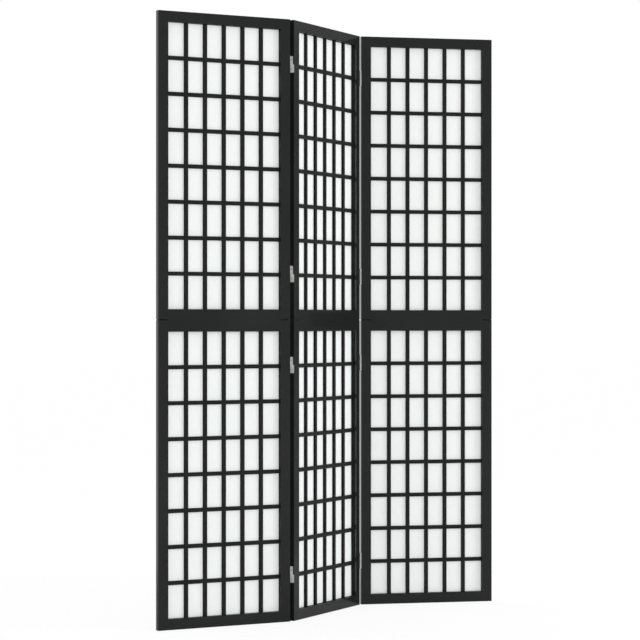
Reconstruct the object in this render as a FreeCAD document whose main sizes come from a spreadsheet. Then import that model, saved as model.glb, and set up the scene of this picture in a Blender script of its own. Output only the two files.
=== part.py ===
import FreeCAD, Part
import Sketcher
import os
import re
from collections import namedtuple

# Three-panel folding screen. Every panel is a black wooden frame in two storeys, each storey
# holding a half-lapped lattice with a sheet of white cloth held behind it by thin beads.
# The row frame: origin at the centre of the middle panel's underside, +X along the run of the
# screen as seen from the front, +Y to the back, +Z up. Lengths in millimetres, angles in degrees.
SIZES = {
    # panel
    "panel_width": 405,
    "panel_height": 1700,
    "panel_thickness": 16,
    "stile_width": 30,
    "rail_width": 30,
    "middle_rail_width": 62,
    "arris_chamfer": 0.3,
    "seam_chamfer": 1.6,
    "seam_rise": 1.8,
    # lattice
    "lattice_setback": 7.2,
    "lattice_thickness": 6.2,
    "upright_width": 11.4,
    "crossbar_width": 11.4,
    "upright_count": 5,
    "crossbar_count": 7,
    "crossbar_spread": 1.1,
    "bar_end_length": 5,
    "bar_ease": 0.4,
    "joinery_clearance": 0.1,
    # cloth and beads in the rebate at the back
    "rebate_width": 10,
    "cloth_thickness": 0.4,
    "cloth_clearance": 1,
    "bead_thickness": 2,
    "bead_clearance": 0.5,
    # tenons of the rails, dowels between the two lengths of a stile
    "tenon_length": 15,
    "tenon_thickness": 5,
    "tenon_setback": 1.6,
    "tenon_shoulder": 6,
    "dowel_diameter": 6,
    "dowel_length": 40,
    "dowel_inset": 8,
    "dowel_clearance": 0.05,
    "dowel_chamfer": 0.6,
    # hinges
    "hinge_height": 46,
    "hinge_end_distance": 128.6,
    "hinge_rise": 2.6,
    "fold_gap": 5,
    "pin_offset": 1,
    "leaf_thickness": 1.2,
    "leaf_margin": 0.2,
    "leaf_step": 3.5,
    "knuckle_gap": 0.4,
    "knuckle_relief": 0.4,
    "pin_radius": 1,
    "pin_clearance": 0.05,
    "pin_head_radius": 2,
    "pin_head_height": 0.9,
    "pin_head_round": 0.4,
    "pin_end_clearance": 0.1,
    # countersunk screws of the hinges
    "screw_spacing": 26,
    "screw_head_radius": 2.7,
    "screw_length": 15,
    "screw_tip_length": 3,
    "screw_tip_radius": 0.4,
    "screw_slot_length": 3,
    "screw_slot_width": 0.6,
    "screw_slot_depth": 0.6,
    "pilot_clearance": 0.05,
    # how far the screen stands open
    "middle_panel_turn": 28,
    "left_fold_turn": 34,
    "right_fold_turn": 50,
}

SHEET = "Sizes"
PANELS = ("left_panel", "middle_panel", "right_panel")
STOREYS = ("lower", "upper")
SIDES = ("left", "right")
HINGED_STILES = {
    ("left_panel", "right"),
    ("middle_panel", "left"),
    ("middle_panel", "right"),
    ("right_panel", "left"),
}
TOLERANCE = 0.01

# A box in a panel's own frame: x from the left edge, y back from the front face, z from the floor.
# All six fields are expressions on the sheet.
Block = namedtuple("Block", "left front bottom width depth height")


def sized(text):
    """An expression in brackets, with every name in SIZES written as a cell of the sheet."""
    cell = re.compile(r"(?<![\w.])[a-z_]+")
    return "(" + cell.sub(lambda word: f"{SHEET}.{word[0]}" if word[0] in SIZES else word[0], text) + ")"


MID_HEIGHT = sized("panel_height / 2")
# The two lengths of a stile meet a little above mid-height, and the hinges are set high too.
SEAM = sized("panel_height / 2 + seam_rise")
HINGE_MIDDLE = sized("panel_height / 2 + hinge_rise")
MIDDLE_DEPTH = sized("panel_thickness / 2")
OPENING_WIDTH = sized("panel_width - 2 * stile_width")
OPENING_HEIGHT = sized("panel_height / 2 - rail_width - middle_rail_width / 2")
OPENING_BOTTOM = {"lower": sized("rail_width"), "upper": sized("panel_height / 2 + middle_rail_width / 2")}
LATTICE_BACK = sized("lattice_setback + lattice_thickness")
LATTICE_MIDDLE = sized("lattice_setback + lattice_thickness / 2")
REBATE_DEPTH = sized("panel_thickness - lattice_setback - lattice_thickness")
UPRIGHT_PITCH = sized(f"{OPENING_WIDTH} / (upright_count + 1)")
# The crossbars are spaced evenly over the opening's height with the spread added at each end.
CROSSBAR_PITCH = sized(f"({OPENING_HEIGHT} + 2 * crossbar_spread) / (crossbar_count + 1)")
FIRST_CROSSBAR = {
    storey: sized(f"{bottom} - crossbar_spread + {CROSSBAR_PITCH} - crossbar_width / 2")
    for storey, bottom in OPENING_BOTTOM.items()
}
FIRST_UPRIGHT = sized(f"stile_width + {UPRIGHT_PITCH} - upright_width / 2")
BEAD_WIDTH = sized("rebate_width - bead_clearance")
CLOTH_MARGIN = sized("rebate_width - cloth_clearance")
TENON_FRONT = sized("(panel_thickness - tenon_thickness) / 2 - tenon_setback")
TENON_HEIGHT = sized("rail_width - 2 * tenon_shoulder")
MIDDLE_TENON_HEIGHT = sized("middle_rail_width / 2 - 2 * tenon_shoulder")
HALF_GAP = sized("fold_gap / 2")
LOWEST_HINGE = sized("hinge_end_distance - panel_height / 2")
HINGE_SPACING = sized("panel_height / 2 - 2 * hinge_end_distance")
SCREW_RADIUS = sized("screw_head_radius - leaf_thickness")

document = FreeCAD.newDocument("FoldingScreen")


def make_sheet():
    """The spreadsheet that holds the driving dimensions, one named cell each."""
    sheet = document.addObject("Spreadsheet::Sheet", SHEET)
    for row, (name, value) in enumerate(SIZES.items(), start=1):
        sheet.set(f"A{row}", name)
        sheet.set(f"B{row}", str(value))
        sheet.setAlias(f"B{row}", name)
    document.recompute()


def placement(x, y, z, axis="vector(0; 0; 1)", angle="0"):
    """The expression of a placement from the expressions of its place and its turn."""
    return f"placement(vector({x}; {y}; {z}); rotation({axis}; {angle}))"


def make_frame(name, expression):
    """A named local frame, which sub-parts take their placement from."""
    frame = document.addObject("App::Placement", name)
    frame.setExpression("Placement", expression)
    return frame


def make_body(label, frame):
    """An empty body in a local frame."""
    body = document.addObject("PartDesign::Body", label)
    body.Label = label
    body.AllowCompound = True
    body.setExpression("Placement", f"{frame.Name}.Placement")
    return body


def origin_feature(body, role):
    """One of the body's own origin planes or axes."""
    return next(feature for feature in body.Origin.OriginFeatures if feature.Role == role)


def make_sketch(body, name, plane, offset):
    """A sketch on an origin plane, moved along the plane's normal by an expression."""
    sketch = body.newObject("Sketcher::SketchObject", name)
    sketch.AttachmentSupport = [(origin_feature(body, plane), "")]
    sketch.MapMode = "FlatFace"
    sketch.setExpression("AttachmentOffset.Base.z", offset)
    return sketch


def bind(sketch, constraint, expression):
    """Add a constraint whose value is an expression."""
    index = sketch.addConstraint(constraint)
    sketch.setExpression(f"Constraints[{index}]", expression)


def draw_rectangle(sketch, left, bottom, width, height):
    """A rectangle placed from the sketch's origin by its lower left corner."""
    corners = [FreeCAD.Vector(1, 1), FreeCAD.Vector(2, 1), FreeCAD.Vector(2, 2), FreeCAD.Vector(1, 2)]
    sides = []
    for corner, following in zip(corners, corners[1:] + corners[:1]):
        sides.append(sketch.addGeometry(Part.LineSegment(corner, following)))
    for side, following in zip(sides, sides[1:] + sides[:1]):
        sketch.addConstraint(Sketcher.Constraint("Coincident", side, 2, following, 1))
    for index, direction in enumerate(("Horizontal", "Vertical", "Horizontal", "Vertical")):
        sketch.addConstraint(Sketcher.Constraint(direction, sides[index]))
    bind(sketch, Sketcher.Constraint("DistanceX", -1, 1, sides[0], 1, 1.0), left)
    bind(sketch, Sketcher.Constraint("DistanceY", -1, 1, sides[0], 1, 1.0), bottom)
    bind(sketch, Sketcher.Constraint("DistanceX", sides[0], 1, sides[0], 2, 1.0), width)
    bind(sketch, Sketcher.Constraint("DistanceY", sides[1], 1, sides[1], 2, 1.0), height)


def draw_circle(sketch, across, up, radius):
    """A circle placed from the sketch's origin by its centre."""
    circle = sketch.addGeometry(Part.Circle(FreeCAD.Vector(1, 1), FreeCAD.Vector(0, 0, 1), 1))
    bind(sketch, Sketcher.Constraint("DistanceX", -1, 1, circle, 3, 1.0), across)
    bind(sketch, Sketcher.Constraint("DistanceY", -1, 1, circle, 3, 1.0), up)
    bind(sketch, Sketcher.Constraint("Radius", circle, 1.0), radius)


def draw_outline(sketch, points):
    """A closed outline through points given as pairs of expressions."""
    values = [FreeCAD.Vector(index, index * index) for index in range(len(points))]
    sides = []
    for value, following in zip(values, values[1:] + values[:1]):
        sides.append(sketch.addGeometry(Part.LineSegment(value, following)))
    for side, following in zip(sides, sides[1:] + sides[:1]):
        sketch.addConstraint(Sketcher.Constraint("Coincident", side, 2, following, 1))
    for side, (across, up) in zip(sides, points):
        bind(sketch, Sketcher.Constraint("DistanceX", -1, 1, side, 1, 1.0), across)
        bind(sketch, Sketcher.Constraint("DistanceY", -1, 1, side, 1, 1.0), up)


def settle(*items):
    """Work out the given objects, and nothing else of the document."""
    document.recompute(list(items))


def extrude(body, name, kind, sketch, length, reverse):
    """A pad or a pocket of a sketch, whose change of the body's volume is checked."""
    settle(sketch)
    before = body.Shape.Volume if body.Tip else 0
    feature = body.newObject(kind, name)
    feature.Profile = sketch
    feature.setExpression("Length", length)
    feature.Reversed = reverse
    settle(feature, body)
    change = body.Shape.Volume - before
    if (change > 0) != (kind == "PartDesign::Pad"):
        raise RuntimeError(f"{body.Label}: {name} changes the volume by {change}")
    return feature


def add_block(body, name, block):
    """Add a box of material, drawn in the front view."""
    sketch = make_sketch(body, f"{name}_sketch", "XZ_Plane", f"-({block.front})")
    draw_rectangle(sketch, block.left, block.bottom, block.width, block.height)
    return extrude(body, name, "PartDesign::Pad", sketch, block.depth, True)


def cut_block(body, name, block):
    """Take a box of material away, drawn in the front view."""
    sketch = make_sketch(body, f"{name}_sketch", "XZ_Plane", f"-({block.front})")
    draw_rectangle(sketch, block.left, block.bottom, block.width, block.height)
    return extrude(body, name, "PartDesign::Pocket", sketch, block.depth, False)


def repeat(body, name, features, axis, spacing, count):
    """Repeat features, or with no features the whole body, along one of its axes."""
    pattern = body.newObject("PartDesign::LinearPattern", name)
    pattern.TransformMode = "Features" if features else "Whole shape"
    pattern.Originals = features
    pattern.Direction = (origin_feature(body, axis), [""])
    pattern.Mode = "Spacing"
    pattern.setExpression("Offset", spacing)
    pattern.setExpression("Occurrences", count)
    body.Tip = pattern
    settle(pattern, body)
    return pattern


def dress_edges(body, name, kind, size, wanted):
    """Round or chamfer the edges of the body's last feature that the test picks."""
    base = body.Tip
    edges = base.Shape.Edges
    names = [f"Edge{index}" for index, edge in enumerate(edges, start=1) if wanted(edge.BoundBox)]
    feature = body.newObject(kind, name)
    feature.Base = (base, names)
    feature.setExpression("Radius" if kind == "PartDesign::Fillet" else "Size", size)
    settle(feature, body)
    return feature


def value(expression):
    """The number that an expression on the sheet has now."""
    return float(document.getObject(SHEET).evalExpression(expression))


def near(first, second):
    """Whether two lengths are the same."""
    return abs(first - second) < TOLERANCE


def stile_left(side):
    """Where a stile's left edge is."""
    return "0" if side == "left" else sized("panel_width - stile_width")


def housing(side, length, front, bottom, depth, height):
    """A box cut into a stile's inner edge, as long as given from that edge."""
    left = sized(f"stile_width - {length}") if side == "left" else sized("panel_width - stile_width")
    return Block(left, front, bottom, length, depth, height)


def cut_stile_mortises(body, storey, side):
    """The mortises for the tenons of the end rail and of the middle rail."""
    length = sized("tenon_length + joinery_clearance")
    front = sized(f"{TENON_FRONT} - joinery_clearance")
    depth = sized("tenon_thickness + 2 * joinery_clearance")
    end_height = sized(f"{TENON_HEIGHT} + 2 * joinery_clearance")
    middle_height = sized(f"{MIDDLE_TENON_HEIGHT} + 2 * joinery_clearance")
    if storey == "lower":
        end_bottom = sized("tenon_shoulder - joinery_clearance")
        middle_bottom = sized("(panel_height - middle_rail_width) / 2 + tenon_shoulder - joinery_clearance")
    else:
        end_bottom = sized("panel_height - rail_width + tenon_shoulder - joinery_clearance")
        middle_bottom = sized("panel_height / 2 + tenon_shoulder - joinery_clearance")
    cut_block(body, "end_rail_mortise", housing(side, length, front, end_bottom, depth, end_height))
    cut_block(body, "middle_rail_mortise", housing(side, length, front, middle_bottom, depth, middle_height))


def cut_dowel_hole(body, storey, side):
    """The hole for the dowel that joins the two lengths of the stile, half in each."""
    sketch = make_sketch(body, "dowel_hole_sketch", "XY_Plane", SEAM)
    across = sized("dowel_inset") if side == "left" else sized("panel_width - dowel_inset")
    draw_circle(sketch, across, MIDDLE_DEPTH, sized("dowel_diameter / 2 + dowel_clearance"))
    depth = sized("dowel_length / 2 + joinery_clearance")
    extrude(body, "dowel_hole", "PartDesign::Pocket", sketch, depth, storey == "upper")


def cut_pilot_holes(body, storey, side):
    """The holes for the hinge screws in the stile's outer edge, two for each of two hinges."""
    edge = "0" if side == "left" else sized("panel_width")
    sketch = make_sketch(body, "pilot_holes_sketch", "YZ_Plane", edge)
    start = "0" if storey == "lower" else MID_HEIGHT
    for hinge in (sized("hinge_end_distance"), sized("panel_height / 2 - hinge_end_distance")):
        for sign in ("-", "+"):
            height = sized(f"{start} + hinge_rise + {hinge} {sign} screw_spacing / 2")
            draw_circle(sketch, MIDDLE_DEPTH, height, sized(f"{SCREW_RADIUS} + pilot_clearance"))
    depth = sized("screw_length - leaf_thickness + joinery_clearance")
    extrude(body, "pilot_holes", "PartDesign::Pocket", sketch, depth, side == "left")


def ease_stile(body, storey, side):
    """Chamfer the outer arrises and the free end, and more widely the end at the seam."""
    outer = 0 if side == "left" else value(sized("panel_width"))
    inner = value(sized("stile_width")) if side == "left" else value(sized("panel_width - stile_width"))
    thickness = value(sized("panel_thickness"))
    free_end = 0 if storey == "lower" else value(sized("panel_height"))

    def on_end(box, level):
        at_level = near(box.ZMin, level) and near(box.ZMax, level)
        along_inner = near(box.XMin, inner) and near(box.XMax, inner)
        on_face = near(box.YMin, 0) or near(box.YMax, thickness)
        on_side = near(box.XMin, outer) or near(box.XMax, outer)
        return at_level and (on_face or on_side) and not along_inner

    def on_outer_arris(box):
        on_outer_side = near(box.XMin, outer) and near(box.XMax, outer)
        return on_outer_side and (near(box.YMax, 0) or near(box.YMin, thickness)) and box.ZLength > TOLERANCE

    dress_edges(body, "seam_ease", "PartDesign::Chamfer", sized("seam_chamfer"),
                lambda box: on_end(box, value(SEAM)))
    dress_edges(body, "arris", "PartDesign::Chamfer", sized("arris_chamfer"),
                lambda box: on_outer_arris(box) or on_end(box, free_end))


def make_stile(panel, frame, storey, side):
    """One length of a stile, from the floor to the seam or from the seam to the top."""
    body = make_body(f"{panel}_{storey}_{side}_stile", frame)
    bottom = "0" if storey == "lower" else SEAM
    height = SEAM if storey == "lower" else sized(f"panel_height - {SEAM}")
    opening = OPENING_BOTTOM[storey]
    add_block(body, "bar", Block(
        stile_left(side), "0", bottom, sized("stile_width"), sized("panel_thickness"), height))
    cut_block(body, "rebate", housing(
        side, sized("rebate_width"), LATTICE_BACK, sized(f"{opening} - rebate_width"),
        REBATE_DEPTH, sized(f"{OPENING_HEIGHT} + 2 * rebate_width")))
    notch = cut_block(body, "crossbar_housing", housing(
        side, sized("bar_end_length + joinery_clearance"),
        sized("lattice_setback - joinery_clearance"),
        sized(f"{FIRST_CROSSBAR[storey]} - joinery_clearance"),
        sized("panel_thickness - lattice_setback + joinery_clearance"),
        sized("crossbar_width + 2 * joinery_clearance")))
    repeat(body, "crossbar_housings", [notch], "Z_Axis", CROSSBAR_PITCH, sized("crossbar_count"))
    cut_stile_mortises(body, storey, side)
    cut_dowel_hole(body, storey, side)
    if (panel, side) in HINGED_STILES:
        cut_pilot_holes(body, storey, side)
    ease_stile(body, storey, side)
    return body


def add_tenons(body, bottoms, height):
    """A tenon at each end of a rail for each given height from the floor."""
    lefts = {"left": sized("stile_width - tenon_length"), "right": sized("panel_width - stile_width")}
    for index, bottom in enumerate(bottoms):
        for side, left in lefts.items():
            add_block(body, f"{side}_tenon_{index}", Block(
                left, TENON_FRONT, bottom, sized("tenon_length"), sized("tenon_thickness"), height))


def cut_rail_edge(body, name, opening_is_above, edge):
    """The rebate and the upright housings in the edge of a rail that faces an opening."""
    rebate_bottom = sized(f"{edge} - rebate_width") if opening_is_above else edge
    cut_block(body, f"{name}_rebate", Block(
        sized("stile_width"), LATTICE_BACK, rebate_bottom,
        OPENING_WIDTH, REBATE_DEPTH, sized("rebate_width")))
    length = sized("bar_end_length + joinery_clearance")
    bottom = f"({edge} - {length})" if opening_is_above else edge
    notch = cut_block(body, f"{name}_housing", Block(
        sized(f"{FIRST_UPRIGHT} - joinery_clearance"), sized("lattice_setback - joinery_clearance"), bottom,
        sized("upright_width + 2 * joinery_clearance"),
        sized("panel_thickness - lattice_setback + joinery_clearance"), length))
    repeat(body, f"{name}_housings", [notch], "X_Axis", UPRIGHT_PITCH, sized("upright_count"))


def ease_rail(body, level):
    """Chamfer the two long arrises of a rail at a height."""
    long_enough = value(OPENING_WIDTH) - TOLERANCE
    thickness = value(sized("panel_thickness"))

    def wanted(box):
        at_level = near(box.ZMin, level) and near(box.ZMax, level)
        on_face = near(box.YMax, 0) or near(box.YMin, thickness)
        return at_level and on_face and box.XLength > long_enough

    dress_edges(body, "arris", "PartDesign::Chamfer", sized("arris_chamfer"), wanted)


def make_rail(panel, frame, name, bottom, height):
    """The plain bar of a rail between the stiles."""
    body = make_body(f"{panel}_{name}", frame)
    add_block(body, "bar", Block(
        sized("stile_width"), "0", bottom, OPENING_WIDTH, sized("panel_thickness"), height))
    return body


def make_rails(panel, frame):
    """The bottom, middle and top rail of a panel."""
    width = sized("rail_width")
    bottom_rail = make_rail(panel, frame, "bottom_rail", "0", width)
    add_tenons(bottom_rail, [sized("tenon_shoulder")], TENON_HEIGHT)
    cut_rail_edge(bottom_rail, "upper", True, OPENING_BOTTOM["lower"])
    ease_rail(bottom_rail, 0)

    middle_bottom = sized(f"{MID_HEIGHT} - middle_rail_width / 2")
    middle_rail = make_rail(panel, frame, "middle_rail", middle_bottom, sized("middle_rail_width"))
    tenons = [sized(f"{middle_bottom} + tenon_shoulder"), sized(f"{MID_HEIGHT} + tenon_shoulder")]
    add_tenons(middle_rail, tenons, MIDDLE_TENON_HEIGHT)
    cut_rail_edge(middle_rail, "lower", False, middle_bottom)
    cut_rail_edge(middle_rail, "upper", True, OPENING_BOTTOM["upper"])

    top_bottom = sized("panel_height - rail_width")
    top_rail = make_rail(panel, frame, "top_rail", top_bottom, width)
    add_tenons(top_rail, [sized(f"{top_bottom} + tenon_shoulder")], TENON_HEIGHT)
    cut_rail_edge(top_rail, "lower", False, top_bottom)
    ease_rail(top_rail, value(sized("panel_height")))


def ease_bar(body, run):
    """Chamfer the two long front edges of a lattice bar, which runs along X or Z."""
    front = value(sized("lattice_setback"))
    dress_edges(body, "ease", "PartDesign::Chamfer", sized("bar_ease"),
                lambda box: near(box.YMin, front) and near(box.YMax, front) and getattr(box, run) > TOLERANCE)


def make_lattice(panel, frame, storey):
    """The uprights and crossbars of one storey, half-lapped so that they lie flush where they cross."""
    opening = OPENING_BOTTOM[storey]
    first_crossbar = FIRST_CROSSBAR[storey]
    lap_depth = sized("(lattice_thickness + joinery_clearance) / 2")
    lap_front = f"({LATTICE_BACK} - {lap_depth})"

    uprights = make_body(f"{panel}_{storey}_lattice_uprights", frame)
    add_block(uprights, "upright", Block(
        FIRST_UPRIGHT, sized("lattice_setback"), sized(f"{opening} - bar_end_length"),
        sized("upright_width"), sized("lattice_thickness"), sized(f"{OPENING_HEIGHT} + 2 * bar_end_length")))
    ease_bar(uprights, "ZLength")
    repeat(uprights, "uprights", [], "X_Axis", UPRIGHT_PITCH, sized("upright_count"))
    lap = cut_block(uprights, "lap", Block(
        sized("stile_width"), lap_front, sized(f"{first_crossbar} - joinery_clearance"),
        OPENING_WIDTH, lap_depth, sized("crossbar_width + 2 * joinery_clearance")))
    repeat(uprights, "laps", [lap], "Z_Axis", CROSSBAR_PITCH, sized("crossbar_count"))

    crossbars = make_body(f"{panel}_{storey}_lattice_crossbars", frame)
    add_block(crossbars, "crossbar", Block(
        sized("stile_width - bar_end_length"), sized("lattice_setback"), first_crossbar,
        sized(f"{OPENING_WIDTH} + 2 * bar_end_length"), sized("lattice_thickness"), sized("crossbar_width")))
    ease_bar(crossbars, "XLength")
    repeat(crossbars, "crossbars", [], "Z_Axis", CROSSBAR_PITCH, sized("crossbar_count"))
    lap = cut_block(crossbars, "lap", Block(
        sized(f"{FIRST_UPRIGHT} - joinery_clearance"), sized("lattice_setback"), opening,
        sized("upright_width + 2 * joinery_clearance"), lap_depth, OPENING_HEIGHT))
    repeat(crossbars, "laps", [lap], "X_Axis", UPRIGHT_PITCH, sized("upright_count"))


def make_cloth(panel, frame, storey):
    """The sheet of cloth of one storey, flat on the back of the lattice and the rebate's floor."""
    body = make_body(f"{panel}_{storey}_screen_cloth", frame)
    add_block(body, "sheet", Block(
        sized(f"stile_width - {CLOTH_MARGIN}"), LATTICE_BACK, f"({OPENING_BOTTOM[storey]} - {CLOTH_MARGIN})",
        f"({OPENING_WIDTH} + 2 * {CLOTH_MARGIN})", sized("cloth_thickness"),
        f"({OPENING_HEIGHT} + 2 * {CLOTH_MARGIN})"))


def make_beads(panel, frame, storey):
    """The four strips that hold the cloth in the rebate of one storey."""
    body = make_body(f"{panel}_{storey}_cloth_beads", frame)
    opening = OPENING_BOTTOM[storey]
    front = sized(f"{LATTICE_BACK} + cloth_thickness")
    depth = sized("bead_thickness")
    upright = add_block(body, "upright_bead", Block(
        sized(f"stile_width - {BEAD_WIDTH}"), front, f"({opening} - {BEAD_WIDTH})",
        BEAD_WIDTH, depth, f"({OPENING_HEIGHT} + 2 * {BEAD_WIDTH})"))
    repeat(body, "upright_beads", [upright], "X_Axis", f"({OPENING_WIDTH} + {BEAD_WIDTH})", "2")
    level = add_block(body, "level_bead", Block(
        sized("stile_width + joinery_clearance"), front, f"({opening} - {BEAD_WIDTH})",
        sized(f"{OPENING_WIDTH} - 2 * joinery_clearance"), depth, BEAD_WIDTH))
    repeat(body, "level_beads", [level], "Z_Axis", f"({OPENING_HEIGHT} + {BEAD_WIDTH})", "2")


def make_dowels(panel, frame):
    """The two dowels that join the lower and upper lengths of the panel's stiles."""
    body = make_body(f"{panel}_stile_dowels", frame)
    sketch = make_sketch(body, "dowel_sketch", "XY_Plane", sized(f"{SEAM} - dowel_length / 2"))
    draw_circle(sketch, sized("dowel_inset"), MIDDLE_DEPTH, sized("dowel_diameter / 2"))
    extrude(body, "dowel", "PartDesign::Pad", sketch, sized("dowel_length"), False)
    dress_edges(body, "dowel_ends", "PartDesign::Chamfer", sized("dowel_chamfer"),
                lambda box: box.ZLength < TOLERANCE)
    repeat(body, "dowels", [], "X_Axis", sized("panel_width - 2 * dowel_inset"), "2")


def repeat_at_hinges(body):
    """Repeat the whole body, made at the lowest hinge, at the other three hinges of a fold."""
    repeat(body, "two_hinges", [], "Z_Axis", HINGE_SPACING, "2")
    repeat(body, "four_hinges", [], "Z_Axis", MID_HEIGHT, "2")


def make_leaves(name, frame):
    """Four hinge leaves with a knuckle on their lower half.

    The leaf's frame has its origin on the pin's axis halfway between the hinges, +X towards the
    stile that carries the leaf and -Y towards the face of the panel that is away from the pin.
    """
    body = make_body(name, frame)
    inner_face = sized("fold_gap / 2 - leaf_thickness")
    reach = sized("panel_thickness + pin_offset - leaf_margin")
    bottom = sized(f"{LOWEST_HINGE} - hinge_height / 2")
    knuckle_height = sized("(hinge_height - knuckle_gap) / 2")
    upper_bottom = f"({bottom} + {knuckle_height})"
    add_block(body, "knuckle_half", Block(
        inner_face, f"(-{reach})", bottom, sized("leaf_thickness"), reach, knuckle_height))
    add_block(body, "plain_half", Block(
        inner_face, sized(f"leaf_step - {reach}"), upper_bottom, sized("leaf_thickness"),
        sized(f"{reach} - leaf_step"), sized(f"hinge_height - {knuckle_height}")))
    relief = make_sketch(body, "relief_sketch", "XY_Plane", upper_bottom)
    draw_circle(relief, "0", "0", sized("fold_gap / 2 + knuckle_relief"))
    extrude(body, "relief", "PartDesign::Pocket", relief, sized("hinge_height"), True)
    knuckle = make_sketch(body, "knuckle_sketch", "XY_Plane", bottom)
    draw_circle(knuckle, "0", "0", HALF_GAP)
    extrude(body, "knuckle", "PartDesign::Pad", knuckle, knuckle_height, False)
    bore = make_sketch(body, "bore_sketch", "XY_Plane", bottom)
    draw_circle(bore, "0", "0", sized("pin_radius + pin_clearance"))
    extrude(body, "bore", "PartDesign::Pocket", bore, knuckle_height, True)
    cut_countersinks(body, inner_face)
    repeat_at_hinges(body)


def screw_sketch(body, name, start):
    """A sketch whose origin is on the axis of the lowest screw, at a depth into the stile."""
    height = sized(f"{LOWEST_HINGE} - screw_spacing / 2")
    sketch = make_sketch(body, name, "XY_Plane", height)
    sketch.setExpression("AttachmentOffset.Base.x", start)
    sketch.setExpression("AttachmentOffset.Base.y", sized("-pin_offset - panel_thickness / 2"))
    return sketch


def revolve(body, name, kind, sketch):
    """Turn a half section about the sketch's own level axis."""
    settle(sketch)
    feature = body.newObject(kind, name)
    feature.Profile = sketch
    feature.ReferenceAxis = (sketch, ["H_Axis"])
    feature.Angle = 360
    settle(feature, body)
    return feature


def cut_countersinks(body, inner_face):
    """The two countersunk screw holes of a leaf."""
    sketch = screw_sketch(body, "countersink_sketch", inner_face)
    draw_outline(sketch, [
        ("0", "0"), ("0", sized("screw_head_radius")),
        (sized("leaf_thickness"), SCREW_RADIUS), (sized("leaf_thickness"), "0")])
    before = body.Shape.Volume
    hole = revolve(body, "countersink", "PartDesign::Groove", sketch)
    if body.Shape.Volume >= before:
        raise RuntimeError(f"{body.Label}: the countersink cuts nothing")
    repeat(body, "countersinks", [hole], "Z_Axis", sized("screw_spacing"), "2")


def make_screws(name, frame):
    """The eight screws of one side of a fold, two in each leaf, in the leaf's frame."""
    body = make_body(name, frame)
    inner_face = sized("fold_gap / 2 - leaf_thickness")
    sketch = screw_sketch(body, "screw_sketch", inner_face)
    draw_outline(sketch, [
        ("0", "0"), ("0", sized("screw_head_radius")),
        (sized("leaf_thickness"), SCREW_RADIUS), (sized("screw_length - screw_tip_length"), SCREW_RADIUS),
        (sized("screw_length"), sized("screw_tip_radius")), (sized("screw_length"), "0")])
    revolve(body, "screw", "PartDesign::Revolution", sketch)
    height = sized(f"{LOWEST_HINGE} - screw_spacing / 2")
    depth = sized("-pin_offset - panel_thickness / 2")
    long_half = sized("screw_slot_length / 2")
    wide_half = sized("screw_slot_width / 2")
    slots = {"level_slot": (long_half, wide_half), "upright_slot": (wide_half, long_half)}
    for slot, (half_depth, half_height) in slots.items():
        cut_block(body, slot, Block(
            inner_face, f"({depth} - {half_depth})", f"({height} - {half_height})",
            sized("screw_slot_depth"), f"(2 * {half_depth})", f"(2 * {half_height})"))
    repeat(body, "two_screws", [], "Z_Axis", sized("screw_spacing"), "2")
    repeat_at_hinges(body)


def make_pins(name, frame):
    """The four headed pins of a fold, in the leaf's frame."""
    body = make_body(name, frame)
    head_start = sized("hinge_height / 2 + pin_end_clearance")
    shank = make_sketch(body, "shank_sketch", "XY_Plane", f"({LOWEST_HINGE} - {head_start})")
    draw_circle(shank, "0", "0", sized("pin_radius"))
    extrude(body, "shank", "PartDesign::Pad", shank, f"(2 * {head_start})", False)
    lower_head = sized(f"{LOWEST_HINGE} - {head_start} - pin_head_height")
    upper_head = f"({LOWEST_HINGE} + {head_start})"
    for head, bottom in (("lower_head", lower_head), ("upper_head", upper_head)):
        sketch = make_sketch(body, f"{head}_sketch", "XY_Plane", bottom)
        draw_circle(sketch, "0", "0", sized("pin_head_radius"))
        extrude(body, head, "PartDesign::Pad", sketch, sized("pin_head_height"), False)
    ends = (value(lower_head), value(upper_head) + value(sized("pin_head_height")))
    dress_edges(body, "head_rounds", "PartDesign::Fillet", sized("pin_head_round"),
                lambda box: box.ZLength < TOLERANCE and any(near(box.ZMin, end) for end in ends))
    repeat_at_hinges(body)


def make_panel(panel, frame):
    """Every piece of one panel except its hinges."""
    for storey in STOREYS:
        for side in SIDES:
            make_stile(panel, frame, storey, side)
        make_lattice(panel, frame, storey)
        make_cloth(panel, frame, storey)
        make_beads(panel, frame, storey)
    make_rails(panel, frame)
    make_dowels(panel, frame)


def make_panel_frames():
    """The local frame of each panel, at the front lower left corner, folded about the hinge pins."""
    left_pin = placement(sized("-fold_gap / 2"), sized("panel_thickness + pin_offset"), "0",
                         angle=sized("-left_fold_turn"))
    left_corner = placement(sized("-panel_width - fold_gap / 2"), sized("-panel_thickness - pin_offset"), "0")
    right_pin = placement(sized("panel_width + fold_gap / 2"), sized("-pin_offset"), "0",
                          angle=sized("-right_fold_turn"))
    right_corner = placement(HALF_GAP, sized("pin_offset"), "0")
    turn = placement("0", "0", "0", angle=sized("middle_panel_turn"))
    middle_corner = placement(sized("-panel_width / 2"), sized("-panel_thickness / 2"), "0")
    middle = make_frame("middle_panel_frame", f"{turn} * {middle_corner}")
    left = make_frame("left_panel_frame", f"{middle.Name}.Placement * {left_pin} * {left_corner}")
    right = make_frame("right_panel_frame", f"{middle.Name}.Placement * {right_pin} * {right_corner}")
    document.recompute()
    return {"left_panel": left, "middle_panel": middle, "right_panel": right}


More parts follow.
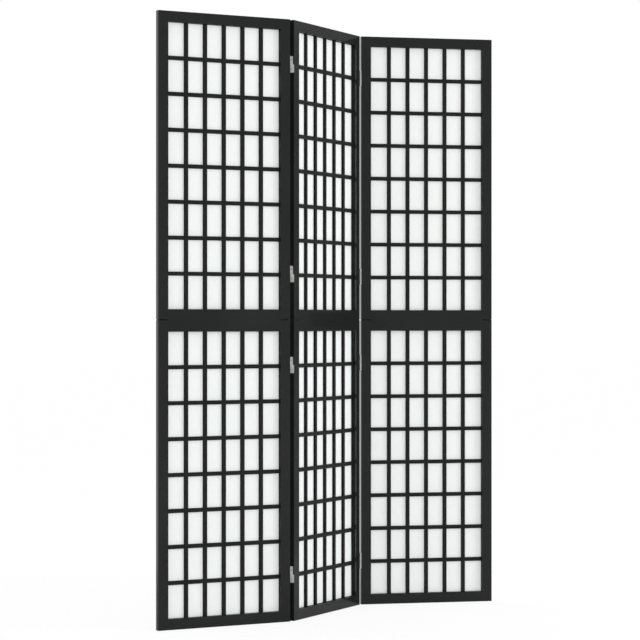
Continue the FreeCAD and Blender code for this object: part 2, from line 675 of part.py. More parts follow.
def make_fold(name, frames, outer_panel, back_pin):
    """The hinges of one fold: leaves, pins and screws on the middle panel and on the outer one.

    The pins are behind the back face where the outer panel folds backwards, and in front of the
    front face where it folds forwards. The outer leaf is the same leaf turned upside down.
    """
    middle_x = sized("-fold_gap / 2") if back_pin else sized("panel_width + fold_gap / 2")
    outer_x = sized("panel_width + fold_gap / 2") if back_pin else sized("-fold_gap / 2")
    pin_y = sized("panel_thickness + pin_offset") if back_pin else sized("-pin_offset")
    middle_place = placement(middle_x, pin_y, HINGE_MIDDLE, angle="0" if back_pin else "180")
    outer_axis = "vector(0; 1; 0)" if back_pin else "vector(1; 0; 0)"
    outer_place = placement(outer_x, pin_y, HINGE_MIDDLE, axis=outer_axis, angle="180")
    middle_panel = f"{frames['middle_panel'].Name}.Placement"
    middle_frame = make_frame(f"{name}_middle_frame", f"{middle_panel} * {middle_place}")
    outer_frame = make_frame(f"{name}_outer_frame", f"{frames[outer_panel].Name}.Placement * {outer_place}")
    document.recompute()
    make_leaves(f"{name}_middle_leaves", middle_frame)
    make_leaves(f"{name}_outer_leaves", outer_frame)
    make_screws(f"{name}_middle_screws", middle_frame)
    make_screws(f"{name}_outer_screws", outer_frame)
    make_pins(f"{name}_pins", middle_frame)


def check(bodies):
    """Stop before anything is written if an object failed or a sub-part has no valid solid."""
    for item in document.Objects:
        if "Invalid" in item.State or "Error" in item.State:
            raise RuntimeError(f"{item.Name}: {item.State}")
    for body in bodies:
        shape = body.Shape
        if shape.isNull() or not shape.isValid() or not shape.Solids:
            raise RuntimeError(f"{body.Label}: not a valid solid")


def main():
    """Build the screen and write one file for each sub-part."""
    make_sheet()
    frames = make_panel_frames()
    for panel in PANELS:
        make_panel(panel, frames[panel])
    make_fold("left_fold", frames, "left_panel", True)
    make_fold("right_fold", frames, "right_panel", False)
    document.recompute()
    bodies = [item for item in document.Objects if item.TypeId == "PartDesign::Body"]
    check(bodies)
    os.makedirs("parts", exist_ok=True)
    for body in bodies:
        body.Shape.exportStep(f"parts/{body.Label}.step")
        box = body.Shape.BoundBox
        lengths = f"{box.XLength:.1f} x {box.YLength:.1f} x {box.ZLength:.1f}"
        print(f"{body.Label}: {len(body.Shape.Solids)} solids, {lengths}")


main()
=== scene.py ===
"""A three-leaf folding screen in black satin paint, with white cloth behind its lattices.

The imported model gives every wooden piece, hinge and screw its place. This script gives them their
finishes, makes the six sheets of cloth as surfaces of their own, and sets up the studio.
"""
import logging
import math
from dataclasses import dataclass
from enum import Enum

import bpy
import numpy as np
from mathutils import Matrix, Vector


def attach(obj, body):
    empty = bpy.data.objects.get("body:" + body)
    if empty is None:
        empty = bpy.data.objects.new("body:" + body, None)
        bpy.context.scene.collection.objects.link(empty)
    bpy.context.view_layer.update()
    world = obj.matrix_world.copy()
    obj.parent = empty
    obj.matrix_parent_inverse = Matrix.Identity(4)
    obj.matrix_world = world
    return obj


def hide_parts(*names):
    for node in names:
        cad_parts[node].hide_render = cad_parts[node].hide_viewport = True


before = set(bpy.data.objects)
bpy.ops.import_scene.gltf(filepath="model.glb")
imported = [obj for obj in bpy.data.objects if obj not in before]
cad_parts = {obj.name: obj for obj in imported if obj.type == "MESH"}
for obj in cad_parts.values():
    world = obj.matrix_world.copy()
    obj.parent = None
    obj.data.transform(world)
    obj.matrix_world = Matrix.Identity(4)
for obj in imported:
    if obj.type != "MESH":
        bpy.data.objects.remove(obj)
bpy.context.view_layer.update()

LOG = logging.getLogger("folding_screen")
MM = 0.001
IMAGE_PIXELS = 640


class Storey(Enum):
    """The two halves of a leaf, one above the other."""

    LOWER = "lower"
    UPPER = "upper"


class GrainRun(Enum):
    """Which way the grain of a wooden bar runs: up the leaf or across it."""

    UPRIGHT = "upright"
    LEVEL = "level"


def linear(hex_colour: str) -> tuple[float, float, float, float]:
    """Turn an sRGB hex colour into linear light.

    Each channel c of 0 to 1 becomes c / 12.92 up to 0.04045, and ((c + 0.055) / 1.055) ** 2.4 above.

    Args:
        hex_colour: six hex digits after a hash.

    Returns:
        Linear red, green and blue, and an alpha of 1.
    """
    channels = [int(hex_colour[start:start + 2], 16) / 255 for start in (1, 3, 5)]
    light = [c / 12.92 if c <= 0.04045 else ((c + 0.055) / 1.055) ** 2.4 for c in channels]
    return (light[0], light[1], light[2], 1.0)


def add_node(material: bpy.types.Material | bpy.types.World, kind: str, settings: dict | None = None,
             links: dict | None = None) -> bpy.types.Node:
    """Add one shader node with its settings and its incoming links.

    Args:
        material: the material or world whose tree gets the node.
        kind: the node's Blender type name.
        settings: values by attribute name, or by input name where the node has no such attribute.
        links: output sockets by the name or number of the input that they feed.

    Returns:
        The new node.
    """
    node = material.node_tree.nodes.new(kind)
    for name, value in (settings or {}).items():
        if isinstance(name, str) and hasattr(node, name):
            setattr(node, name, value)
        else:
            node.inputs[name].default_value = value
    for name, output in (links or {}).items():
        material.node_tree.links.new(output, node.inputs[name])
    return node


def add_maths(material: bpy.types.Material | bpy.types.World, operation: str,
              *terms: float | bpy.types.NodeSocket) -> bpy.types.NodeSocket:
    """Add one step of arithmetic.

    Args:
        material: the material or world whose tree gets the node.
        operation: the name of the Math node's operation.
        terms: the numbers and output sockets that it works on, in order.

    Returns:
        The result's socket.
    """
    sockets = {place: term for place, term in enumerate(terms) if isinstance(term, bpy.types.NodeSocket)}
    numbers = {place: term for place, term in enumerate(terms) if place not in sockets}
    return add_node(material, "ShaderNodeMath", {"operation": operation, **numbers}, sockets).outputs[0]


def add_noise(material: bpy.types.Material, place: bpy.types.NodeSocket, size: float = 1.0,
              **settings: float) -> bpy.types.NodeSocket:
    """Add a soft noise from 0 to 1.

    Args:
        material: the material whose tree gets the node.
        place: the position that the noise follows.
        size: the size of its blotches, in the position's own unit.
        settings: the Noise Texture's other inputs by name.

    Returns:
        The noise's socket.
    """
    node = add_node(material, "ShaderNodeTexNoise", {"Scale": 1 / size, **settings}, {"Vector": place})
    return node.outputs[0]


def add_bump(material: bpy.types.Material, height: bpy.types.NodeSocket, relief: float,
             under: bpy.types.NodeSocket | None = None) -> bpy.types.NodeSocket:
    """Add fine relief that no mesh here could show.

    Args:
        material: the material whose tree gets the node.
        height: the pattern of the relief, from 0 to 1.
        relief: its depth in metres.
        under: the relief that it lies on, if any.

    Returns:
        The normal's socket.
    """
    links = {"Height": height, "Normal": under} if under else {"Height": height}
    return add_node(material, "ShaderNodeBump", {"Distance": relief}, links).outputs[0]


def add_stretch(material: bpy.types.Material, place: bpy.types.NodeSocket, sizes: tuple[float, float, float],
                turn: float = 0.0) -> bpy.types.NodeSocket:
    """Divide a position by one size for each axis, so that a noise of size 1 is stretched to them.

    Args:
        material: the material whose tree gets the node.
        place: the position.
        sizes: the sizes along X, Y and Z.
        turn: how far the stretched position is then turned about Z, in radians.

    Returns:
        The stretched position's socket.
    """
    scale = tuple(1 / size for size in sizes)
    return add_node(material, "ShaderNodeMapping", {"Scale": scale, "Rotation": (0.0, 0.0, turn)},
                    {"Vector": place}).outputs[0]


def new_material(name: str) -> bpy.types.Material:
    """Make an empty node material.

    Args:
        name: the material's name.

    Returns:
        The material, with no nodes in its tree.
    """
    material = bpy.data.materials.new(name)
    material.use_nodes = True
    material.node_tree.nodes.clear()
    return material


def dress(piece: bpy.types.Object, material: bpy.types.Material) -> None:
    """Give a piece one material over its whole surface."""
    piece.data.materials.clear()
    piece.data.materials.append(material)


@dataclass(frozen=True)
class FlatPlace:
    """The place of a flat upright CAD node: a corner, its two long directions and its thickness."""

    corner: np.ndarray
    across: np.ndarray
    back: np.ndarray
    width: float
    height: float
    thickness: float

    @staticmethod
    def of_node(name: str) -> "FlatPlace":
        """Measure a flat upright node.

        The level direction is the main axis of the points seen from above, turned to point to +X.
        The back is a quarter turn to its left, which is towards +Y.

        Args:
            name: the CAD node's name.

        Returns:
            Its place.
        """
        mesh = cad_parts[name].data
        points = np.zeros(len(mesh.vertices) * 3)
        mesh.vertices.foreach_get("co", points)
        points = points.reshape(-1, 3)
        level = points[:, :2] - points[:, :2].mean(0)
        across = np.linalg.svd(level, full_matrices=False)[2][0]
        across = across * np.sign(across[0])
        back = np.array([-across[1], across[0]])
        along, deep = points[:, :2] @ across, points[:, :2] @ back
        corner = np.append(across * along.min() + back * deep.min(), points[:, 2].min())
        return FlatPlace(corner, np.append(across, 0.0), np.append(back, 0.0), np.ptp(along),
                         np.ptp(points[:, 2]), np.ptp(deep))

    @property
    def turn(self) -> float:
        """How far the node is turned about the upright, in radians."""
        return math.atan2(self.across[1], self.across[0])


@dataclass(frozen=True)
class LeafPlace:
    """The place of a leaf and of its two openings, one above the other.

    The origin is in the plane of the leaf's front, at the middle of its width and height. The
    openings lie as far above it as below it.
    """

    origin: np.ndarray
    turn: float
    half_width: float
    half_height: float
    rise: float

    @staticmethod
    def of_leaf(name: str, margin: float) -> "LeafPlace":
        """Measure a leaf by its middle rail and its two sheets of cloth.

        Args:
            name: the leaf's name.
            margin: how far the cloth reaches past the opening at each edge.

        Returns:
            Its place.
        """
        rail = FlatPlace.of_node(f"{name}_middle_rail")
        low, high = (FlatPlace.of_node(f"{name}_{storey.value}_screen_cloth") for storey in Storey)
        centre = rail.corner + rail.across * rail.width / 2 + np.array([0.0, 0.0, rail.height / 2])
        return LeafPlace(centre, rail.turn, low.width / 2 - margin, low.height / 2 - margin,
                         (high.corner[2] - low.corner[2]) / 2)


@dataclass(frozen=True)
class SatinPaint:
    """Black acrylic furniture paint, sprayed in a satin coat over planed softwood.

    The thin film lets the long grain show as faint ridges, and the spray leaves a very fine
    orange peel, so the eye gets a soft, slightly streaked sheen and no clear reflection. The faces
    inside the openings, in the recess behind the frame's front, are darker in the photograph, so the
    paint there is rougher and painted darker, as painted shade. Both values were matched to the photograph.
    What makes the real faces dark isn't known.
    """

    name: str
    colour: str
    worn_colour: str
    roughness: float = 0.13
    roughness_spread: float = 0.03
    ior: float = 1.45
    specular: float = 0.4
    grain_width: float = 1.6 * MM
    grain_length: float = 70 * MM
    grain_relief: float = 0.008 * MM
    grain_share: float = 0.6
    pattern_low: float = 0.45
    pattern_high: float = 1.15
    peel_size: float = 2.4 * MM
    peel_relief: float = 0.004 * MM
    cloud_size: float = 160 * MM
    # How far behind the frame's front the painted shade inside the openings starts.
    shade_start_depth: float = 0.9 * MM
    recess_roughness: float = 0.8
    # The darker colour of the painted shade inside the openings.
    recess_shade_colour: str = "#0B0C0B"
    recess_spare: float = 0.25 * MM

    def recess_shade_share(self, material: bpy.types.Material, place: bpy.types.NodeSocket,
                  leaf: LeafPlace) -> bpy.types.NodeSocket:
        """Say where the paint is rougher and painted darker as shade: inside the openings and behind their
        edges.

        With x, y and z from the leaf's origin, in its own directions, that is where y is more than
        the depth where the painted shade starts, |x| is less than half the opening's width, and
        ||z| - rise| is less than half its height, the last two with a little to spare.

        Args:
            material: the material that asks.
            place: the position in the leaf's own directions.
            leaf: the leaf's place.

        Returns:
            A socket that is 1 there and 0 elsewhere.
        """
        parts = add_node(material, "ShaderNodeSeparateXYZ", {}, {"Vector": place}).outputs
        behind = add_maths(material, "GREATER_THAN", parts["Y"], self.shade_start_depth)
        aside = add_maths(material, "ABSOLUTE", parts["X"])
        within = add_maths(material, "LESS_THAN", aside, leaf.half_width + self.recess_spare)
        above = add_maths(material, "ABSOLUTE", parts["Z"])
        between = add_maths(material, "COMPARE", above, leaf.rise, leaf.half_height + self.recess_spare)
        inside = add_maths(material, "MULTIPLY", within, between)
        return add_maths(material, "MULTIPLY", inside, behind)

    def material(self, leaf: LeafPlace, run: GrainRun) -> bpy.types.Material:
        """Make the paint for the bars of one leaf that run one way.

        The pattern is laid in the leaf's own directions: the object coordinates are turned back by
        the leaf's turn, and then divided by the grain's length along the bar and its width across.

        Args:
            leaf: the leaf's place.
            run: which way the grain runs.

        Returns:
            The material.
        """
        material = new_material(f"{self.name}_{run.value}_{math.degrees(leaf.turn):+.0f}")
        place = add_node(material, "ShaderNodeTexCoord").outputs["Object"]
        back = Matrix.Rotation(-leaf.turn, 3, "Z") @ -Vector(leaf.origin)
        settings = {"Rotation": (0.0, 0.0, -leaf.turn), "Location": back}
        turned = add_node(material, "ShaderNodeMapping", settings, {"Vector": place}).outputs[0]
        # 1 where the painted shade of the recess lies, inside the openings and behind the front.
        shade_mask = self.recess_shade_share(material, turned, leaf)
        along, across = self.grain_length, self.grain_width
        sizes = (across, across, along) if run is GrainRun.UPRIGHT else (along, across, across)
        stretched = add_stretch(material, turned, sizes)
        grain = add_noise(material, stretched, Detail=4.0, Roughness=0.55)
        peel = add_noise(material, place, self.peel_size, Detail=1.0)
        cloud = add_noise(material, place, self.cloud_size, Detail=2.0)
        mixed = add_maths(material, "MULTIPLY_ADD", grain, self.grain_share, cloud)
        colour = add_node(material, "ShaderNodeValToRGB", {}, {"Fac": mixed})
        colour.color_ramp.elements[0].position = self.pattern_low
        colour.color_ramp.elements[0].color = linear(self.colour)
        colour.color_ramp.elements[1].color = linear(self.worn_colour)
        # Inside the openings the colour is painted shade: a darker paint over the faces in the recess.
        tint = add_node(material, "ShaderNodeMixRGB", {2: linear(self.recess_shade_colour)},
                        {0: shade_mask, 1: colour.outputs[0]})
        coat = add_node(material, "ShaderNodeMapRange", {
            "From Min": self.pattern_low, "From Max": self.pattern_high,
            "To Min": self.roughness - self.roughness_spread,
            "To Max": self.roughness + self.roughness_spread}, {"Value": mixed}).outputs[0]
        recess_rough = add_maths(material, "MULTIPLY", shade_mask, self.recess_roughness)
        rough = add_maths(material, "MAXIMUM", coat, recess_rough)
        ridges = add_bump(material, grain, self.grain_relief)
        bumps = add_bump(material, peel, self.peel_relief, ridges)
        shader = add_node(material, "ShaderNodeBsdfPrincipled",
                          {"IOR": self.ior, "Specular IOR Level": self.specular},
                          {"Base Color": tint.outputs[0], "Roughness": rough, "Normal": bumps})
        add_node(material, "ShaderNodeOutputMaterial", {}, {"Surface": shader.outputs[0]})
        return material


@dataclass(frozen=True)
class PlatedSteel:
    """Pressed steel with a bright nickel or zinc plating.

    The sheet keeps the fine lines of its rolling, so highlights spread along its height, and the
    plating varies a little in brightness.
    """

    name: str
    colour: str
    dull_colour: str
    roughness: float = 0.5
    roughness_spread: float = 0.08
    line_width: float = 0.35 * MM
    line_length: float = 18 * MM
    line_relief: float = 0.004 * MM
    metallic: float = 0.72

    def material(self) -> bpy.types.Material:
        """Make the metal, with its rolling lines upright.

        Returns:
            The material.
        """
        material = new_material(self.name)
        place = add_node(material, "ShaderNodeTexCoord").outputs["Object"]
        lines = add_stretch(material, place, (self.line_width, self.line_width, self.line_length))
        noise = add_noise(material, lines, Detail=3.0)
        colour = add_node(material, "ShaderNodeValToRGB", {}, {"Fac": noise})
        colour.color_ramp.elements[0].color = linear(self.dull_colour)
        colour.color_ramp.elements[1].color = linear(self.colour)
        rough = add_node(material, "ShaderNodeMapRange", {
            "To Min": self.roughness - self.roughness_spread,
            "To Max": self.roughness + self.roughness_spread}, {"Value": noise}).outputs[0]
        bump = add_bump(material, noise, self.line_relief)
        shader = add_node(material, "ShaderNodeBsdfPrincipled", {"Metallic": self.metallic},
                          {"Base Color": colour.outputs[0], "Roughness": rough, "Normal": bump})
        add_node(material, "ShaderNodeOutputMaterial", {}, {"Surface": shader.outputs[0]})
        return material


@dataclass(frozen=True)
class Beech:
    """Bare turned beech: pale pinkish brown with short dark flecks along the grain, matt."""

    name: str = "bare_beech"
    colour: str = "#C9A277"
    fleck_colour: str = "#9A6F45"
    fleck_width: float = 0.5 * MM
    fleck_length: float = 4 * MM
    fleck_relief: float = 0.02 * MM
    roughness: float = 0.7

    def material(self) -> bpy.types.Material:
        """Make the wood, with its grain upright.

        Returns:
            The material.
        """
        material = new_material(self.name)
        place = add_node(material, "ShaderNodeTexCoord").outputs["Object"]
        flecks = add_stretch(material, place, (self.fleck_width, self.fleck_width, self.fleck_length))
        noise = add_noise(material, flecks, Detail=3.0)
        colour = add_node(material, "ShaderNodeValToRGB", {}, {"Fac": noise})
        colour.color_ramp.elements[0].color = linear(self.fleck_colour)
        colour.color_ramp.elements[1].color = linear(self.colour)
        bump = add_bump(material, noise, self.fleck_relief)
        shader = add_node(material, "ShaderNodeBsdfPrincipled", {"Roughness": self.roughness},
                          {"Base Color": colour.outputs[0], "Normal": bump})
        add_node(material, "ShaderNodeOutputMaterial", {}, {"Surface": shader.outputs[0]})
        return material


@dataclass(frozen=True)
class ScreenCloth:
    """White non-woven screen cloth, pressed flat from long fibres, matt and translucent.

    Light passes through it softly, so the lattice shows as a shade from behind. Its fibres give a
    faint cloudiness. They are about 0.02 mm wide, which no render here can show, so the fibre
    pattern is drawn 1.2 mm wide.
    """

    name: str = "white_screen_cloth"
    colour: str = "#FBFCFC"
    thin_colour: str = "#F9FBFA"
    through_colour: str = "#F8FAF9"
    through_share: float = 0.6
    roughness: float = 0.85
    specular: float = 0.2
    sheen: float = 0.05
    fibre_width: float = 1.2 * MM
    fibre_length: float = 14 * MM
    fibre_turn: float = 0.2
    fibre_share: float = 0.5
    fibre_relief: float = 0.02 * MM
    cloud_size: float = 22 * MM
    pattern_low: float = 0.5

    def material(self) -> bpy.types.Material:
        """Make the cloth, whose pattern follows the sheet's own UV map in metres.

        Returns:
            The material.
        """
        material = new_material(self.name)
        place = add_node(material, "ShaderNodeUVMap", {"uv_map": "sheet"}).outputs[0]
        fibres = add_stretch(material, place, (self.fibre_width, self.fibre_length, 1.0), self.fibre_turn)
        fibre = add_noise(material, fibres, Detail=3.0, Distortion=0.6)
        cloud = add_noise(material, place, self.cloud_size, Detail=3.0)
        mixed = add_maths(material, "MULTIPLY_ADD", fibre, self.fibre_share, cloud)
        colour = add_node(material, "ShaderNodeValToRGB", {}, {"Fac": mixed})
        colour.color_ramp.elements[0].position = self.pattern_low
        colour.color_ramp.elements[0].color = linear(self.thin_colour)
        colour.color_ramp.elements[1].color = linear(self.colour)
        bump = add_bump(material, fibre, self.fibre_relief)
        front = add_node(material, "ShaderNodeBsdfPrincipled", {
            "Roughness": self.roughness, "Specular IOR Level": self.specular, "Sheen Weight": self.sheen},
            {"Base Color": colour.outputs[0], "Normal": bump})
        through = add_node(material, "ShaderNodeBsdfTranslucent", {"Color": linear(self.through_colour)})
        both = add_node(material, "ShaderNodeMixShader", {0: self.through_share},
                        {1: front.outputs[0], 2: through.outputs[0]})
        add_node(material, "ShaderNodeOutputMaterial", {}, {"Surface": both.outputs[0]})
        return material


@dataclass
class ClothSheet:
    """One sheet of cloth, stretched flat over the back of a lattice and held at its edges."""

    leaf: str
    storey: Storey
    columns: int = 6
    rows: int = 8
    steps_across: int = 8
    steps_up: int = 12
    thickness: float = 0.34 * MM
    margin: float = 9 * MM
    belly: float = 0.25 * MM
    ripple: float = 0.2 * MM
    ripple_length: float = 210 * MM
    ripple_slant: float = 0.6
    leaf_phase: float = 0.9
    storey_phase: float = 1.7

    @property
    def node(self) -> str:
        """The CAD node that the sheet stands for."""
        return f"{self.leaf}_{self.storey.value}_screen_cloth"

    def surface(self, place: FlatPlace) -> tuple[np.ndarray, np.ndarray]:
        """Work out the sheet's middle surface.

        With s across and t up, in metres from the corner, a point is corner + across * s + up * t
        + back * (half the thickness + slack). The slack is zero outside the opening. Inside, it is
        |sin(pi * columns * s') * sin(pi * rows * t')| * (belly + ripple * wave), so that the sheet
        lies on the lattice bars, with s' and t' from 0 to 1 over the opening. The wave is
        0.5 - 0.5 * cos(2 * pi * (s + slant * t) / ripple_length + phase). The phase depends on the
        length of the leaf's name and on the storey, so that the sheets differ.

        Args:
            place: the place of the CAD sheet.

        Returns:
            Points as rows by columns by 3, and their s and t as rows by columns by 2.
        """
        inner_width, inner_height = place.width - 2 * self.margin, place.height - 2 * self.margin
        across = np.linspace(0.0, inner_width, self.columns * self.steps_across + 1) + self.margin
        up = np.linspace(0.0, inner_height, self.rows * self.steps_up + 1) + self.margin
        across = np.concatenate([[0.0], across, [place.width]])
        up = np.concatenate([[0.0], up, [place.height]])
        s, t = np.meshgrid(across, up)
        share_across = np.clip((s - self.margin) / inner_width, 0.0, 1.0)
        share_up = np.clip((t - self.margin) / inner_height, 0.0, 1.0)
        cell = np.abs(np.sin(np.pi * self.columns * share_across) * np.sin(np.pi * self.rows * share_up))
        phase = self.leaf_phase * len(self.leaf) + (self.storey_phase if self.storey is Storey.UPPER else 0.0)
        wave = 0.5 - 0.5 * np.cos(2 * np.pi * (s + self.ripple_slant * t) / self.ripple_length + phase)
        slack = cell * (self.belly + self.ripple * wave)
        depth = place.thickness / 2 + slack
        points = (place.corner + s[..., None] * place.across + t[..., None] * np.array([0.0, 0.0, 1.0])
                  + depth[..., None] * place.back)
        return points, np.stack([s, t], axis=-1)

    def build(self, material: bpy.types.Material) -> None:
        """Args:
            material: the cloth.
        """
        place = FlatPlace.of_node(self.node)
        points, sheet_uv = self.surface(place)
        rows, columns = points.shape[:2]
        index = np.arange(rows * columns).reshape(rows, columns)
        corners = [index[:-1, :-1], index[:-1, 1:], index[1:, 1:], index[1:, :-1]]
        faces = np.stack(corners, axis=-1).reshape(-1, 4)
        mesh = bpy.data.meshes.new(f"{self.node}_sheet")
        mesh.from_pydata(points.reshape(-1, 3).tolist(), [], faces.tolist())
        layer = mesh.uv_layers.new(name="sheet")
        layer.data.foreach_set("uv", sheet_uv.reshape(-1, 2)[faces.reshape(-1)].reshape(-1))
        mesh.polygons.foreach_set("use_smooth", np.ones(len(mesh.polygons), dtype=bool))
        piece = bpy.data.objects.new(f"{self.node}_sheet", mesh)
        bpy.context.scene.collection.objects.link(piece)
        shell = piece.modifiers.new("thickness", "SOLIDIFY")
        shell.thickness = self.thickness
        shell.offset = 0.0
        dress(piece, material)
        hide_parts(self.node)
        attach(piece, self.leaf)
        LOG.info("%s: %.0f x %.0f mm", piece.name, place.width / MM, place.height / MM)


@dataclass
class Leaf:
    """One leaf of the screen: its frame, lattices, beads and dowels, and its two sheets of cloth."""

    name: str
    frame_paint: SatinPaint
    lattice_paint: SatinPaint
    cloth: bpy.types.Material
    dowel_wood: bpy.types.Material

    def finish_for(self, node: str, paints: dict) -> bpy.types.Material:
        """Choose the paint or wood of a wooden node.

        Args:
            node: the node's name.
            paints: the leaf's paints, by whether they are for the lattice and by grain run.

        Returns:
            Its material.
        """
        if node.endswith("stile_dowels"):
            return self.dowel_wood
        fine = "lattice" in node or "beads" in node
        upright = "stile" in node or "uprights" in node or "beads" in node
        return paints[fine, GrainRun.UPRIGHT if upright else GrainRun.LEVEL]

    def build(self) -> None:
        """Dress the leaf's wooden nodes and make its cloth."""
        place = LeafPlace.of_leaf(self.name, ClothSheet.margin)
        paints = {(fine, run): paint.material(place, run)
                  for fine, paint in ((False, self.frame_paint), (True, self.lattice_paint))
                  for run in GrainRun}
        for node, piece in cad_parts.items():
            if node.startswith(self.name) and not node.endswith("screen_cloth"):
                dress(piece, self.finish_for(node, paints))
                LOG.info("%s: painted", node)
        for storey in Storey:
            ClothSheet(self.name, storey).build(self.cloth)


@dataclass
class Fold:
    """The four hinges of one fold: leaves, pins and screws."""

    name: str
    hinge_metal: bpy.types.Material
    screw_metal: bpy.types.Material

    def build(self) -> None:
        """Dress the fold's metal nodes."""
        for node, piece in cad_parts.items():
            if node.startswith(self.name):
                dress(piece, self.screw_metal if node.endswith("screws") else self.hinge_metal)
                LOG.info("%s: plated", node)


@dataclass
class SoftBox:
    """One soft lamp that lights the matt surfaces. The camera and reflections don't see it."""

    name: str
    place: tuple[float, float, float]
    size: float
    power: float
    aim: tuple[float, float, float] = (0.0, 0.0, 0.85)

    def build(self) -> None:
        """Hang the lamp and point it at the screen."""
        lamp = bpy.data.lights.new(self.name, "AREA")
        lamp.shape = "SQUARE"
        lamp.size = self.size
        lamp.energy = self.power
        holder = bpy.data.objects.new(self.name, lamp)
        holder.visible_camera = False
        holder.visible_glossy = False
        holder.location = self.place
        towards = Vector(self.aim) - Vector(self.place)
        holder.rotation_euler = towards.to_track_quat("-Z", "Y").to_euler()
        bpy.context.scene.collection.objects.link(holder)


@dataclass(frozen=True)
class Falloff:
    """Where the light that reflections see changes, on the floor or by direction in the sky.

    front and back are the Y where the dim room ends and the white backdrop starts. near and far
    are the X + wall_slant * |Y| where the wall at the right starts to shade it and shades it in
    full.
    """

    front: float
    back: float
    near: float
    far: float


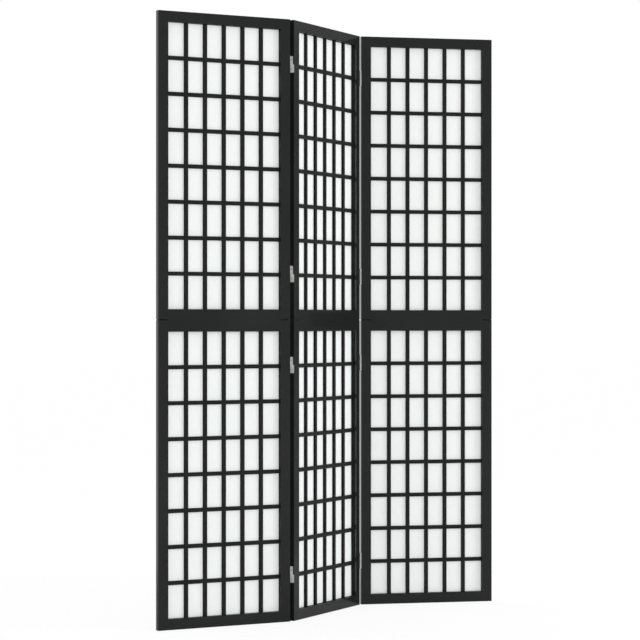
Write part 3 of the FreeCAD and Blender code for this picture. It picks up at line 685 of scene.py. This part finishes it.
@dataclass
class Studio:
    """The pale floor, the sky of soft light, the lamp and the camera."""

    sky_strength: float = 1.0
    backdrop_strength: float = 1.0
    room_strength: float = 0.42
    wall_shade: float = 0.55
    wall_slant: float = -2.0
    wall_top: tuple[float, float] = (0.1, 0.13)
    sky_falloff: Falloff = Falloff(0.05, 0.4, 0.3, 0.7)
    floor_falloff: Falloff = Falloff(0.5, 2.0, 1.0, 1.6)
    floor_half: float = 30.0
    floor_colour: str = "#FCFCFC"
    floor_glow_share: float = 0.85
    camera_place: tuple[float, float, float] = (-3.5360, -5.2838, 0.85)
    camera_azimuth: float = 33.648
    camera_tilt: float = 0.0116
    focal_pixels: float = 2184.3
    sensor: float = 36.0
    clip_end: float = 200.0

    def seen_share(self, owner: bpy.types.Material | bpy.types.World) -> bpy.types.NodeSocket:
        """Say whether a ray comes from the camera, a reflection or a transmission.

        Args:
            owner: the material or world that asks.

        Returns:
            A socket that is 1 for those rays and 0 for the others.
        """
        path = add_node(owner, "ShaderNodeLightPath").outputs
        direct = add_maths(owner, "MAXIMUM", path["Is Camera Ray"], path["Is Glossy Ray"])
        return add_maths(owner, "MAXIMUM", direct, path["Is Transmission Ray"])

    def backdrop(self, owner: bpy.types.Material | bpy.types.World, kind: str, place: bpy.types.NodeSocket,
                 falloff: Falloff) -> bpy.types.NodeSocket:
        """Make the white that the camera sees, and the white and grey that reflections see.

        The camera sees the backdrop's strength everywhere. A reflection sees that only at the
        back, and a dimmer room at the front, by a smooth step of the place's Y. Low at the right
        it is darker still, as if a dark wall stood there: the strength is multiplied by 1 - shade,
        where shade is wall_shade times a step of X + wall_slant * |Y| from near to far and a step
        down of |Z|. The room and the wall were matched to the sheen in the photograph, and
        nothing in it shows them.

        Args:
            owner: the floor's material or the world.
            kind: the type of the shader that gives off the light.
            place: a position on the floor, or a direction in the sky.
            falloff: where the strength changes.

        Returns:
            The shader's output.
        """
        white = linear("#FFFFFF")
        seen = add_node(owner, kind, {"Color": white, "Strength": self.backdrop_strength})
        parts = add_node(owner, "ShaderNodeSeparateXYZ", {}, {"Vector": place}).outputs
        strength = add_node(owner, "ShaderNodeMapRange", {
            "interpolation_type": "SMOOTHSTEP", "From Min": falloff.front, "From Max": falloff.back,
            "To Min": self.room_strength, "To Max": self.backdrop_strength}, {"Value": parts["Y"]}).outputs[0]
        off_axis = add_maths(owner, "ABSOLUTE", parts["Y"])
        aside = add_maths(owner, "MULTIPLY_ADD", off_axis, self.wall_slant, parts["X"])
        right = add_node(owner, "ShaderNodeMapRange", {
            "interpolation_type": "SMOOTHSTEP", "From Min": falloff.near, "From Max": falloff.far,
            "To Max": self.wall_shade}, {"Value": aside}).outputs[0]
        height = add_maths(owner, "ABSOLUTE", parts["Z"])
        low = add_node(owner, "ShaderNodeMapRange", {
            "interpolation_type": "SMOOTHSTEP", "From Min": self.wall_top[0], "From Max": self.wall_top[1],
            "To Min": 1.0, "To Max": 0.0}, {"Value": height}).outputs[0]
        lit = add_maths(owner, "SUBTRACT", 1.0, add_maths(owner, "MULTIPLY", right, low))
        dimmed = add_maths(owner, "MULTIPLY", strength, lit)
        mirrored = add_node(owner, kind, {"Color": white}, {"Strength": dimmed})
        path = add_node(owner, "ShaderNodeLightPath")
        return add_node(owner, "ShaderNodeMixShader", {}, {
            0: path.outputs["Is Glossy Ray"], 1: seen.outputs[0], 2: mirrored.outputs[0]}).outputs[0]

    def build_sky(self) -> None:
        """Light the scene evenly, and show the backdrop to the camera and to reflections."""
        world = bpy.data.worlds.new("studio_sky")
        world.use_nodes = True
        world.node_tree.nodes.clear()
        bpy.context.scene.world = world
        direction = add_node(world, "ShaderNodeTexCoord").outputs["Generated"]
        white = linear("#FFFFFF")
        lit = add_node(world, "ShaderNodeBackground", {"Color": white, "Strength": self.sky_strength})
        seen = self.backdrop(world, "ShaderNodeBackground", direction, self.sky_falloff)
        share = self.seen_share(world)
        mix = add_node(world, "ShaderNodeMixShader", {}, {0: share, 1: lit.outputs[0], 2: seen})
        add_node(world, "ShaderNodeOutputWorld", {}, {"Surface": mix.outputs[0]})

    def build_floor(self) -> None:
        """Lay the pale floor, mostly white to the camera but with the screen's shadow on it."""
        half = self.floor_half
        mesh = bpy.data.meshes.new("studio_floor")
        corners = [(-half, -half, 0), (half, -half, 0), (half, half, 0), (-half, half, 0)]
        mesh.from_pydata(corners, [], [(0, 1, 2, 3)])
        floor = bpy.data.objects.new("studio_floor", mesh)
        bpy.context.scene.collection.objects.link(floor)
        material = new_material("pale_studio_floor")
        matt = add_node(material, "ShaderNodeBsdfDiffuse", {"Color": linear(self.floor_colour)})
        place = add_node(material, "ShaderNodeTexCoord").outputs["Object"]
        glow = self.backdrop(material, "ShaderNodeEmission", place, self.floor_falloff)
        share = add_maths(material, "MULTIPLY", self.seen_share(material), self.floor_glow_share)
        mix = add_node(material, "ShaderNodeMixShader", {}, {0: share, 1: matt.outputs[0], 2: glow})
        add_node(material, "ShaderNodeOutputMaterial", {}, {"Surface": mix.outputs[0]})
        dress(floor, material)

    def build_lamp(self) -> None:
        """Stand the one soft lamp to the right of the screen's front, below its top."""
        SoftBox("key_softbox", place=(2.88, -3.2, 1.5), size=0.9, power=46.0).build()

    def build_camera(self) -> None:
        """Stand the camera level at the screen's mid-height, to the left of its front."""
        data = bpy.data.cameras.new("photo_camera")
        data.sensor_width = self.sensor
        data.lens = self.focal_pixels * self.sensor / IMAGE_PIXELS
        data.clip_end = self.clip_end
        camera = bpy.data.objects.new("photo_camera", data)
        camera.location = self.camera_place
        tilt, turn = math.radians(90 + self.camera_tilt), -math.radians(self.camera_azimuth)
        camera.rotation_euler = (tilt, 0.0, turn)
        bpy.context.scene.collection.objects.link(camera)
        bpy.context.scene.camera = camera

    def build(self) -> None:
        """Set up the whole studio."""
        bpy.context.scene.view_settings.view_transform = "Standard"
        self.build_sky()
        self.build_floor()
        self.build_lamp()
        self.build_camera()


def main() -> None:
    """Dress the screen leaf by leaf and fold by fold, and set up the studio."""
    logging.basicConfig(level=logging.INFO, format="%(message)s")
    Studio().build()
    frame_paint = SatinPaint("black_satin_paint_frame", "#171918", "#1E201F")
    # The bars lie 7.2 mm behind the frame's front, so the painted shade of the recess starts 7.7 mm back,
    # behind their own front faces.
    lattice_paint = SatinPaint("black_satin_paint_lattice", "#191B1A", "#1F2120", roughness=0.4, specular=0.2,
                               grain_width=1.1 * MM, shade_start_depth=7.7 * MM)
    cloth = ScreenCloth().material()
    beech = Beech().material()
    for name in ("left_panel", "middle_panel", "right_panel"):
        Leaf(name, frame_paint, lattice_paint, cloth, beech).build()
    nickel = PlatedSteel("nickel_plated_steel", "#FBFBF8", "#EEEFEC").material()
    zinc = PlatedSteel("zinc_plated_steel", "#D8DADC", "#BFC2C4", roughness=0.4).material()
    for name in ("left_fold", "right_fold"):
        Fold(name, nickel, zinc).build()


if __name__ == "__main__":
    main()
